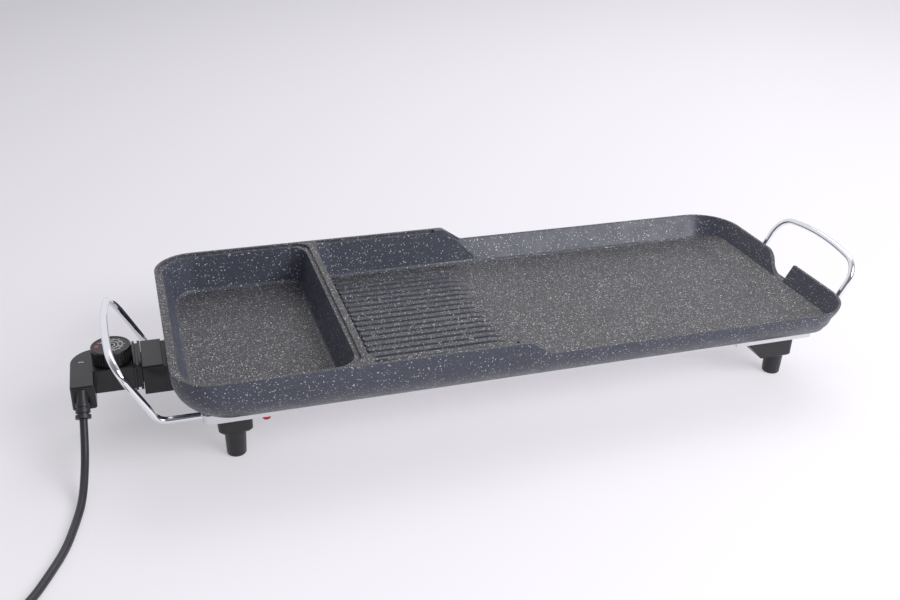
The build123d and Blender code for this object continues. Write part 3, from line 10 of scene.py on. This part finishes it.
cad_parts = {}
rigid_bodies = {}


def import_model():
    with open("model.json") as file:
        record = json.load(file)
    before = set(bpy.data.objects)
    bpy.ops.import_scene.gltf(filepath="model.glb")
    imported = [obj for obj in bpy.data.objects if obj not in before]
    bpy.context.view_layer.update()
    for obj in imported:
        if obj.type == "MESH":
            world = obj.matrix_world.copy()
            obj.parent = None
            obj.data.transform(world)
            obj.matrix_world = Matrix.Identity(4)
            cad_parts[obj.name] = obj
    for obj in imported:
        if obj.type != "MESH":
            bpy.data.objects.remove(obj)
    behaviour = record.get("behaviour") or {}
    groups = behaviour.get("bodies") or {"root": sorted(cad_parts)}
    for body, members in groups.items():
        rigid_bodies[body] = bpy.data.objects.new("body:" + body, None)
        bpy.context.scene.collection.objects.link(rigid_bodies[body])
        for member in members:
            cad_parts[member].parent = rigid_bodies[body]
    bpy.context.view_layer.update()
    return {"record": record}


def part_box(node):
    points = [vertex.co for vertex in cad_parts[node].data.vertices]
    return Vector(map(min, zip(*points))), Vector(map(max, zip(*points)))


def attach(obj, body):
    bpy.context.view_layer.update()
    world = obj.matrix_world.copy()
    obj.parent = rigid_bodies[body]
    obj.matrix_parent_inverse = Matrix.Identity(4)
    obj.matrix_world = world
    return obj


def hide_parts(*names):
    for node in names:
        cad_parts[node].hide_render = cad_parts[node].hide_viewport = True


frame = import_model()
scene = bpy.context.scene

# Camera, at the photograph's viewing angle
PHOTO_WIDTH = 900.0  # pixels
FOCAL_LENGTH = 1032.9  # pixels
SENSOR_WIDTH = 36.0  # millimetres
CAMERA_PLACE = (-0.337531, -0.897080, 0.564000)
CAMERA_YAW, CAMERA_PITCH, CAMERA_ROLL = 0.3214, -0.4674, 0.028  # radians, from level along +Y
VIEW_DEPTH = 50.0


def aim_camera():
    yaw, pitch, roll = CAMERA_YAW, CAMERA_PITCH, CAMERA_ROLL
    forward = Vector((sin(yaw) * cos(pitch), cos(yaw) * cos(pitch), sin(pitch)))
    right = Vector((cos(yaw), -sin(yaw), 0.0))
    up = right.cross(forward)
    right_rolled = right * cos(roll) + up * sin(roll)
    up_rolled = up * cos(roll) - right * sin(roll)
    rotation = Matrix((right_rolled, up_rolled, -forward)).transposed().to_4x4()
    data = bpy.data.cameras.new("camera")
    data.sensor_fit = "HORIZONTAL"
    data.sensor_width = SENSOR_WIDTH
    data.lens = SENSOR_WIDTH * FOCAL_LENGTH / PHOTO_WIDTH
    data.clip_end = VIEW_DEPTH
    camera = bpy.data.objects.new("camera", data)
    scene.collection.objects.link(camera)
    camera.matrix_world = Matrix.Translation(Vector(CAMERA_PLACE)) @ rotation
    scene.camera = camera


aim_camera()
scene.view_settings.view_transform = "Standard"

# Node trees
MIX_INPUTS, MIX_OUTPUT = (0, 6, 7), 2  # the sockets of a mix node that mixes colours


class Graph:
    """Adds nodes to one tree. An input takes a number, a vector, a colour or another node's output."""

    def __init__(self, tree):
        self.tree = tree

    def put(self, socket, value):
        if isinstance(value, bpy.types.NodeSocket):
            self.tree.links.new(value, socket)
        elif socket.type == "RGBA":
            socket.default_value = (*value, 1.0)
        else:
            socket.default_value = value

    def fill(self, node, **inputs):
        """Fills inputs by their names, with _ for a space."""
        for name, value in inputs.items():
            self.put(node.inputs[name.replace("_", " ")], value)
        return node

    def add(self, kind, **inputs):
        return self.fill(self.tree.nodes.new(kind), **inputs)

    def along(self, vector, axis):
        return self.add("ShaderNodeSeparateXYZ", Vector=vector).outputs[axis]

    def math(self, operation, *values):
        node = self.add("ShaderNodeMath")
        node.operation = operation
        for socket, value in zip(node.inputs, values):
            self.put(socket, value)
        return node.outputs["Value"]

    def map_range(self, value, start, end, at_start, at_end):
        node = self.add(
            "ShaderNodeMapRange", Value=value, From_Min=start, From_Max=end, To_Min=at_start, To_Max=at_end
        )
        return node.outputs["Result"]

    def ramp(self, value, stops):
        """Colour ramp with stops given as place and colour or grey level."""
        node = self.add("ShaderNodeValToRGB", Fac=value)
        elements = node.color_ramp.elements
        elements[0].position, elements[1].position = stops[0][0], stops[-1][0]
        for place, _ in stops[1:-1]:
            elements.new(place)
        for element, (_, color) in zip(elements, stops):
            level = color if isinstance(color, tuple) else (color, color, color)
            element.color = (*level, 1.0)
        return node.outputs["Color"]

    def mix(self, amount, first, second):
        node = self.add("ShaderNodeMix")
        node.data_type = "RGBA"
        for index, value in zip(MIX_INPUTS, (amount, first, second)):
            self.put(node.inputs[index], value)
        return node.outputs[MIX_OUTPUT]

    def seen_directly(self):
        """1 for rays that show the background itself: from the camera, and by way of metal or glass."""
        path = self.add("ShaderNodeLightPath").outputs
        seen = self.math("MAXIMUM", path["Is Camera Ray"], path["Is Glossy Ray"])
        return self.math("MAXIMUM", seen, path["Is Transmission Ray"])


# Materials, by the names of the slots that they fill
MATERIALS = {}
COLOR_PLACES = (0.35, 0.65)  # where a noise starts and ends to change a colour
ROUGHNESS_PLACES = (0.3, 0.7)
BRUSHED = (0.6, 30.0, 30.0)  # stretches a pattern along X


class Shader(Graph):
    """Node material around one Principled shader, in even colour and roughness until these are varied."""

    def __init__(self, name, color, roughness, metallic=0.0, **sockets):
        material = bpy.data.materials.new(name)
        material.use_nodes = True
        super().__init__(material.node_tree)
        MATERIALS[name] = material
        self.bsdf = self.tree.nodes["Principled BSDF"]
        self.fill(self.bsdf, Base_Color=color, Roughness=roughness, Metallic=metallic, **sockets)
        self.place = self.add("ShaderNodeTexCoord").outputs["Object"]

    def noise(self, scale, detail=3.0, place=None):
        node = self.add("ShaderNodeTexNoise", Vector=place or self.place, Scale=scale, Detail=detail)
        return node.outputs["Fac"]

    def vary_color(self, scale, low, high):
        start, end = COLOR_PLACES
        self.fill(self.bsdf, Base_Color=self.ramp(self.noise(scale), [(start, low), (end, high)]))

    def vary_roughness(self, scale, low, high, place=None):
        start, end = ROUGHNESS_PLACES
        noise = self.noise(scale, 4.0, place)
        self.fill(self.bsdf, Roughness=self.ramp(noise, [(start, low), (end, high)]))

    def bump(self, height, strength, depth, edge=0.0):
        """Surface relief, with edges that catch the light as if rounded to a radius."""
        node = self.add("ShaderNodeBump", Height=height, Strength=strength, Distance=depth)
        if edge:
            self.fill(node, Normal=self.add("ShaderNodeBevel", Radius=edge).outputs["Normal"])
        self.fill(self.bsdf, Normal=node.outputs["Normal"])

    def specks(self, scale, share, radius):
        """Round specks: cells of a random pattern, of which a share holds one of up to a radius."""
        cells = self.add("ShaderNodeTexVoronoi", Vector=self.place, Scale=scale).outputs
        random = self.add("ShaderNodeSeparateColor", Color=cells["Color"]).outputs
        chosen = self.math("LESS_THAN", random["Red"], share)
        size = self.math("MULTIPLY", random["Green"], radius)
        return self.math("MULTIPLY", chosen, self.math("LESS_THAN", cells["Distance"], size))


# Coating. A surface goes from walls to floors between these two heights of its normal. The walls' tones
# are painted light: lighter and bluer than the floors', as if lit from the front.
FLOOR_NORMALS = [(0.80, 0.0), (0.97, 1.0)]
PAINTED_LIT_WALL_TONES = [(0.3, (0.052, 0.057, 0.085)), (0.7, (0.063, 0.069, 0.101))]
FLOOR_TONES = [(0.3, (0.038, 0.038, 0.043)), (0.7, (0.048, 0.047, 0.053))]
DUST_ON_WALLS = 0.25
DUST_COLOR = (0.27, 0.267, 0.265)
GREY_SPECK_COLOR = (0.52, 0.52, 0.53)
PALE_SPECK_COLOR = (0.82, 0.82, 0.83)


def coating(name):
    """Dark blue-grey non-stick coating: dense fine specks on the floors, sparse pale ones all over, and
    walls painted lighter and bluer than floors as painted light.
    """
    shader = Shader(name, (0.05, 0.052, 0.062), 0.40)
    normal = shader.add("ShaderNodeNewGeometry").outputs["Normal"]
    level = shader.ramp(shader.along(normal, "Z"), FLOOR_NORMALS)
    # Painted light: walls take a lighter, bluer tone than floors, as if lit from the front.
    painted_lit_wall = shader.ramp(shader.noise(9.0), PAINTED_LIT_WALL_TONES)
    floor = shader.ramp(shader.noise(7.0), FLOOR_TONES)
    strength = shader.math("MULTIPLY_ADD", level, 1 - DUST_ON_WALLS, DUST_ON_WALLS)
    dust = shader.math("MULTIPLY", shader.specks(scale=1050.0, share=0.55, radius=0.62), strength)
    color = shader.mix(dust, shader.mix(level, painted_lit_wall, floor), DUST_COLOR)
    color = shader.mix(shader.specks(scale=720.0, share=0.22, radius=0.50), color, GREY_SPECK_COLOR)
    color = shader.mix(shader.specks(scale=560.0, share=0.14, radius=0.38), color, PALE_SPECK_COLOR)
    shader.fill(shader.bsdf, Base_Color=color)
    shader.vary_roughness(60.0, 0.34, 0.46)
    shader.bump(shader.noise(900.0, 2.0), strength=0.25, depth=0.0002, edge=0.0012)


def metal(name, color, low, high, stretch=None, strength=0.05):
    """Metal with a roughness from low to high, and a brushed grain if its pattern is stretched."""
    shader = Shader(name, color, (low + high) / 2, 1.0)
    place = None
    if stretch:
        place = shader.add("ShaderNodeMapping", Vector=shader.place, Scale=stretch).outputs["Vector"]
    shader.vary_roughness(40.0, low, high, place)
    shader.bump(shader.noise(80.0, 3.0, place), strength, depth=0.0002)


def plastic(name, dark, pale, low, high, grain=1500.0, strength=0.12, **sockets):
    """Plastic with a colour from dark to pale, a roughness from low to high, and a fine grain."""
    shader = Shader(name, dark, (low + high) / 2, **sockets)
    shader.vary_color(25.0, dark, pale)
    shader.vary_roughness(70.0, low, high)
    shader.bump(shader.noise(grain, 2.0), strength, depth=0.0001, edge=0.0006)


coating("pan_coating")
metal("steel_sheet", (0.72, 0.72, 0.74), 0.22, 0.36, BRUSHED)
metal("zinc_steel", (0.60, 0.61, 0.63), 0.28, 0.42)
metal("chrome_wire", (0.84, 0.85, 0.88), 0.03, 0.07, strength=0.02)
metal("element_sheath", (0.26, 0.26, 0.28), 0.45, 0.60)
metal("pin_metal", (0.78, 0.76, 0.72), 0.16, 0.26)
metal("brass_parts", (0.74, 0.56, 0.26), 0.22, 0.34)
metal("probe_metal", (0.76, 0.77, 0.79), 0.18, 0.28, BRUSHED)
metal("spring_metal", (0.64, 0.53, 0.38), 0.30, 0.42)
plastic("foot_plastic", (0.022, 0.023, 0.026), (0.030, 0.031, 0.035), 0.32, 0.44)
plastic("red_plastic", (0.55, 0.02, 0.03), (0.66, 0.03, 0.04), 0.25, 0.35)
plastic("ceramic", (0.80, 0.78, 0.72), (0.88, 0.86, 0.80), 0.30, 0.42)
plastic("black_plastic", (0.007, 0.007, 0.008), (0.011, 0.011, 0.012), 0.17, 0.28)
plastic("lamp_glass", (0.85, 0.45, 0.25), (0.92, 0.55, 0.32), 0.05, 0.12, Alpha=0.5)
plastic("lens_plastic", (0.78, 0.77, 0.76), (0.86, 0.85, 0.84), 0.20, 0.30)
plastic("lead_insulation", (0.28, 0.12, 0.05), (0.36, 0.16, 0.07), 0.40, 0.52)
plastic("dial_plastic", (0.006, 0.006, 0.007), (0.010, 0.010, 0.011), 0.14, 0.24)
plastic("dial_print", (0.010, 0.010, 0.011), (0.014, 0.014, 0.015), 0.22, 0.32)
plastic(
    "cord_rubber", (0.022, 0.022, 0.026), (0.032, 0.032, 0.037), 0.36, 0.48, grain=900.0, strength=0.2
)
plastic("tie_plastic", (0.03, 0.03, 0.03), (0.045, 0.045, 0.045), 0.35, 0.48)
plastic("pale_print", (0.70, 0.70, 0.70), (0.78, 0.78, 0.78), 0.30, 0.40)
plastic("red_print", (0.60, 0.03, 0.03), (0.70, 0.05, 0.05), 0.30, 0.40)

for subpart in frame["record"]["subparts"]:
    node = bpy.data.objects[subpart["node"]]
    node.data.materials.clear()
    node.data.materials.append(MATERIALS[subpart["material_slot"]])

# Cord: one line from the boot down to the table, along it, and round the tied coil.
# Its places are in millimetres from the pan's middle.
PAN_X = 15.449  # the pan's middle, in the frame
CORD_RUN = [
    (-416.3, -70.0, 50.0),
    (-417.2, -84.0, 33.5),
    (-419.5, -104.0, 16.5),
    (-423.0, -131.0, 5.5),
    (-428.5, -156.0, 3.5),
    (-436.0, -188.0, 3.5),
    (-448.0, -216.0, 3.5),
    (-461.0, -243.0, 3.5),
    (-499.0, -296.0, 4.8),
    (-499.0, -309.0, 4.8),
]
COIL_X, COIL_Y = -499.0, -316.0
LOWER_LAYER, LAYER_RISE = 4.8, 7.6
UPPER_LAYER = LOWER_LAYER + LAYER_RISE
COIL_INNER, COIL_PITCH = 31.5, 7.8
LOWER_TURNS, UPPER_TURNS = 5, 6  # half turns in each layer, with one more that climbs between them
TAIL = 46.0
POINTS_PER_HALF = 8
CORD_RADIUS = 0.0035  # metres
CORD_STEPS = 8  # round a quarter of the cord, and from point to point along it


def mm(x, y, z):
    """A place given in millimetres from the pan's middle, in the frame."""
    return Vector((x / 1000 + PAN_X / 1000, y / 1000, z / 1000))


def coil_points():
    """Points of the coil's turns: in over the lower layer, up, and out over the upper layer."""
    radii = [COIL_INNER + (LOWER_TURNS - 1 - turn) * COIL_PITCH / 2 for turn in range(LOWER_TURNS)]
    radii.append(COIL_INNER - COIL_PITCH / 2)
    radii += [COIL_INNER + turn * COIL_PITCH / 2 for turn in range(UPPER_TURNS)]
    # The spline runs inside its points, so they stand out by as much
    outset = 1 / cos(pi / POINTS_PER_HALF / 2) ** 2
    x = COIL_X
    points = []
    for turn, radius in enumerate(radii):
        way = 1 if turn % 2 == 0 else -1
        middle = x + way * radius
        for step in range(POINTS_PER_HALF):
            share = (step + 0.5) / POINTS_PER_HALF
            climb = share if turn == LOWER_TURNS else float(turn > LOWER_TURNS)
            point_x = middle - way * radius * outset * cos(share * pi)
            point_y = COIL_Y - way * radius * outset * sin(share * pi)
            points.append((point_x, point_y, LOWER_LAYER + LAYER_RISE * climb))
        x += 2 * way * radius
    points.append((x, COIL_Y - TAIL / 2, UPPER_LAYER))
    points.append((x, COIL_Y - TAIL, UPPER_LAYER))
    return points


def make_cord():
    points = [mm(*point) for point in CORD_RUN + coil_points()]
    curve = bpy.data.curves.new("mains_cord", "CURVE")
    curve.dimensions = "3D"
    curve.bevel_depth = CORD_RADIUS
    curve.bevel_resolution = CORD_STEPS
    curve.resolution_u = CORD_STEPS
    curve.use_fill_caps = True
    spline = curve.splines.new("NURBS")
    spline.points.add(len(points) - 1)
    for point, place in zip(spline.points, points):
        point.co = (*place, 1.0)
    spline.order_u = 3
    spline.use_endpoint_u = True
    piece = bpy.data.objects.new("mains_cord", curve)
    scene.collection.objects.link(piece)
    curve.materials.append(MATERIALS["cord_rubber"])
    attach(piece, "controller")
    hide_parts("cord_run", "cord_coil")


make_cord()

# Dial scale: pale rings, ticks and plain numbers on the plate, and a red mark.
# A ring is given by its inner and outer radius, and by its first and last angle in degrees.
plate_low, plate_high = (Vector(corner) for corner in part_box("dial_plate"))
plate_middle = (plate_low + plate_high) / 2
DIAL = Vector((plate_middle.x, plate_middle.y, plate_high.z))
PRINT_HEIGHT = 0.00006
RINGS = [(0.0104, 0.0110, -100, 150), (0.0066, 0.0073, -100, 130), (0.0034, 0.0041, 0, 360)]
RED_MARK = (0.0106, 0.0140, 172, 190)
TICK_COUNT, FIRST_TICK, TICK_PITCH, TICK_HALF = 11, 150, 25, 1.2  # the last three in degrees
TICK_INNER, LONG_TICK, SHORT_TICK = 0.0113, 0.0133, 0.0126
NUMBERS = ("80", "120", "160", "200", "240")
FIRST_NUMBER, NUMBER_PITCH = 140, 55  # degrees
NUMBER_RADIUS, NUMBER_SIZE = 0.0089, 0.0028


def put_on_dial(name, data, offset=(0, 0, 0), turn=0.0):
    piece = bpy.data.objects.new(name, data)
    piece.location = DIAL + Vector(offset)
    piece.rotation_euler = (0, 0, turn)
    scene.collection.objects.link(piece)
    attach(piece, "dial")


def flat_print(name, build, material):
    """A thin printed shape on the dial's plate."""
    mesh = bpy.data.meshes.new(name)
    bm = bmesh.new()
    build(bm)
    faces = bmesh.ops.extrude_face_region(bm, geom=bm.faces[:])
    raised = [item for item in faces["geom"] if isinstance(item, bmesh.types.BMVert)]
    bmesh.ops.translate(bm, verts=raised, vec=(0, 0, PRINT_HEIGHT))
    bmesh.ops.recalc_face_normals(bm, faces=bm.faces[:])
    bm.to_mesh(mesh)
    bm.free()
    mesh.materials.append(material)
    put_on_dial(name, mesh)


def arc(bm, inner, outer, start, end, steps=48):
    """Ring segment between two angles in degrees."""
    rows = []
    for step in range(steps + 1):
        angle = radians(start + (end - start) * step / steps)
        way = Vector((cos(angle), sin(angle), 0))
        rows.append([bm.verts.new(way * radius) for radius in (inner, outer)])
    for first, second in zip(rows, rows[1:]):
        bm.faces.new((first[0], first[1], second[1], second[0]))


def scale_print(bm):
    for ring in RINGS:
        arc(bm, *ring)
    for tick in range(TICK_COUNT):
        angle = FIRST_TICK - tick * TICK_PITCH
        outer = SHORT_TICK if tick % 2 else LONG_TICK
        arc(bm, TICK_INNER, outer, angle - TICK_HALF, angle + TICK_HALF, steps=2)


def dial_numbers():
    for index, text in enumerate(NUMBERS):
        angle = radians(FIRST_NUMBER - index * NUMBER_PITCH)
        curve = bpy.data.curves.new(f"dial_number_{text}", "FONT")
        curve.body = text
        curve.size = NUMBER_SIZE
        curve.extrude = PRINT_HEIGHT / 2
        curve.align_x = "CENTER"
        curve.align_y = "CENTER"
        curve.materials.append(MATERIALS["pale_print"])
        offset = (NUMBER_RADIUS * cos(angle), NUMBER_RADIUS * sin(angle), PRINT_HEIGHT / 2)
        put_on_dial(f"dial_number_{text}", curve, offset, angle - pi / 2)


flat_print("dial_scale", scale_print, MATERIALS["pale_print"])
flat_print("dial_red_mark", lambda bm: arc(bm, *RED_MARK, steps=8), MATERIALS["red_print"])
dial_numbers()

# Table: pale, with a glow that keeps the grill's shadow and grows to the right and in front.
# Each growth is given by where it starts and ends, and by the glow that it has there.
TABLE_HALF = 6
TABLE_COLOR, GLOW_COLOR = (0.56, 0.55, 0.57), (0.95, 0.93, 0.97)
GLOW_SLANT = -0.6  # growth along Y for each unit along X
GLOW_TO_THE_RIGHT = (-1.8, 0.4, 0.24, 0.45)
GLOW_IN_FRONT = (-0.1, -0.6, 0.0, 0.07)


def make_table_material():
    shader = Shader("table_white", TABLE_COLOR, 0.7, Specular_IOR_Level=0.1, Emission_Color=GLOW_COLOR)
    across, back = (shader.along(shader.place, axis) for axis in "XY")
    slanted = shader.math("MULTIPLY_ADD", back, GLOW_SLANT, across)
    right = shader.map_range(slanted, *GLOW_TO_THE_RIGHT)
    front = shader.map_range(back, *GLOW_IN_FRONT)
    glow = shader.math("MULTIPLY", shader.seen_directly(), shader.math("ADD", right, front))
    shader.fill(shader.bsdf, Emission_Strength=glow)


def make_table():
    make_table_material()
    mesh = bpy.data.meshes.new("table_top")
    bm = bmesh.new()
    bmesh.ops.create_grid(bm, x_segments=1, y_segments=1, size=TABLE_HALF)
    bm.to_mesh(mesh)
    bm.free()
    mesh.materials.append(MATERIALS["table_white"])
    table = bpy.data.objects.new("table_top", mesh)
    scene.collection.objects.link(table)


# Light and background, along a direction's X or Y
LIGHT_LEVELS = [(0.0, (0.14, 0.14, 0.15)), (0.5, (0.47, 0.475, 0.505)), (1.0, (0.66, 0.66, 0.70))]
BACKGROUND_TONES = [(0.0, (0.70, 0.66, 0.67)), (0.25, (0.85, 0.83, 0.85)), (0.65, (0.96, 0.93, 0.95))]
ROOM_SHADES = [(0.0, (0.16, 0.16, 0.18)), (0.35, (0.30, 0.30, 0.32)), (0.6, (0.85, 0.84, 0.88))]


def area_light(name, place, target, size, power):
    data = bpy.data.lights.new(name, "AREA")
    data.shape = "RECTANGLE"
    data.size, data.size_y = size
    data.energy = power
    light = bpy.data.objects.new(name, data)
    light.location = place
    light.rotation_euler = (Vector(target) - Vector(place)).to_track_quat("-Z", "Y").to_euler()
    scene.collection.objects.link(light)


def make_world():
    """Soft light, more of it from the right, behind a background that is paler to the right.

    In reflections, the room behind the camera is dim.
    """
    world = bpy.data.worlds.new("studio")
    scene.world = world
    world.use_nodes = True
    graph = Graph(world.node_tree)
    direction = graph.add("ShaderNodeTexCoord").outputs["Generated"]
    right, back = (graph.along(direction, axis) for axis in "XY")

    def from_zero(value):
        """A direction's -1 to 1, brought to a ramp's 0 to 1."""
        return graph.math("MULTIPLY_ADD", value, 0.5, 0.5)

    def background(value, stops):
        return graph.add("ShaderNodeBackground", Color=graph.ramp(value, stops)).outputs["Background"]

    def choose(amount, first, second):
        node = graph.add("ShaderNodeMixShader", Fac=amount)
        graph.put(node.inputs[1], first)
        graph.put(node.inputs[2], second)
        return node.outputs["Shader"]

    light = background(from_zero(right), LIGHT_LEVELS)
    pale = background(right, BACKGROUND_TONES)
    room = background(from_zero(back), ROOM_SHADES)
    reflected = graph.add("ShaderNodeLightPath").outputs["Is Glossy Ray"]
    shown = choose(reflected, pale, room)
    graph.fill(world.node_tree.nodes["World Output"], Surface=choose(graph.seen_directly(), light, shown))


make_table()
make_world()
area_light("key", place=(1.3, -1.7, 1.6), target=(0.1, 0, 0.05), size=(1.8, 1.2), power=42.0)
area_light("top", place=(0.9, 0.9, 1.9), target=(0.2, 0, 0.05), size=(1.6, 1.2), power=12.0)
